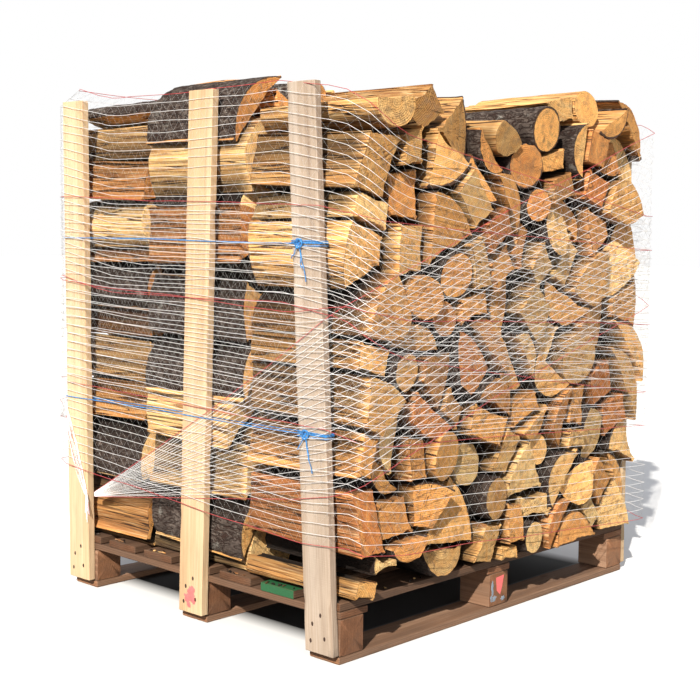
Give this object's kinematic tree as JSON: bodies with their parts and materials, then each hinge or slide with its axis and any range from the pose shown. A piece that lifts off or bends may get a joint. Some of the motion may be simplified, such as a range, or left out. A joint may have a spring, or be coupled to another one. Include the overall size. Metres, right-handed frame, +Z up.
{
  "type": "palletised firewood bundle",
  "caption": "Pallet of split firewood stacked between upright wooden posts, tied with twine and wrapped in stretched net.",
  "frame": {"origin": "on the floor under the middle of the pallet", "axes": "+Z up; the ends of the logs face -Y and +Y; the posts stand on the -X and +X sides"},
  "size_m": [1.2588, 1.1448, 1.3559],
  "materials": {
    "split_wood": "rough sawn ends and split faces",
    "bark": "rough cracked bark",
    "post_wood": "sawn pale softwood",
    "pallet_wood": "weathered rough boards",
    "net_yarn": "white knitted tape yarn",
    "net_edge": "red edge yarn",
    "twine": "blue baler twine",
    "nail_steel": "dulled nail heads",
    "paint": "worn marking paint"
  },
  "bodies": {
    "root": {"block_left_back": "pallet_wood", "block_left_front": "pallet_wood", "block_left_middle": "pallet_wood", "block_middle_back": "pallet_wood", "block_middle_front": "pallet_wood", "block_middle_middle": "pallet_wood", "block_right_back": "pallet_wood", "block_right_front": "pallet_wood", "block_right_middle": "pallet_wood", "deck_board_1": "pallet_wood", "deck_board_2": "pallet_wood", "deck_board_3": "pallet_wood", "deck_board_4": "pallet_wood", "deck_board_5": "pallet_wood", "deck_board_6": "pallet_wood", "deck_board_7": "pallet_wood", "far_row_logs": "split_wood", "far_top_log_1": "split_wood", "far_top_log_2": "split_wood", "far_top_log_3": "split_wood", "far_top_log_4": "split_wood", "far_top_log_5": "split_wood", "far_top_log_6": "split_wood", "far_top_log_7": "split_wood", "far_top_log_8": "split_wood", "middle_row_logs": "split_wood", "middle_top_log_1": "split_wood", "middle_top_log_2": "split_wood", "middle_top_log_3": "split_wood", "middle_top_log_4": "split_wood", "middle_top_log_5": "split_wood", "middle_top_log_6": "split_wood", "near_row_logs": "split_wood", "near_top_log_1": "split_wood", "near_top_log_2": "split_wood", "near_top_log_3": "split_wood", "near_top_log_4": "split_wood", "near_top_log_5": "split_wood", "near_top_log_6": "split_wood", "near_top_log_7": "split_wood", "near_top_log_8": "split_wood", "net": "net_yarn", "post_left_back": "post_wood", "post_left_front": "post_wood", "post_left_middle": "post_wood", "post_right_back": "post_wood", "post_right_front": "post_wood", "post_right_middle": "post_wood", "skid_back": "pallet_wood", "skid_front": "pallet_wood", "skid_middle": "pallet_wood", "stringer_left": "pallet_wood", "stringer_middle": "pallet_wood", "stringer_right": "pallet_wood", "twine_left_lower": "twine", "twine_left_upper": "twine", "twine_right_lower": "twine", "twine_right_upper": "twine"}
  },
  "joints": []
}
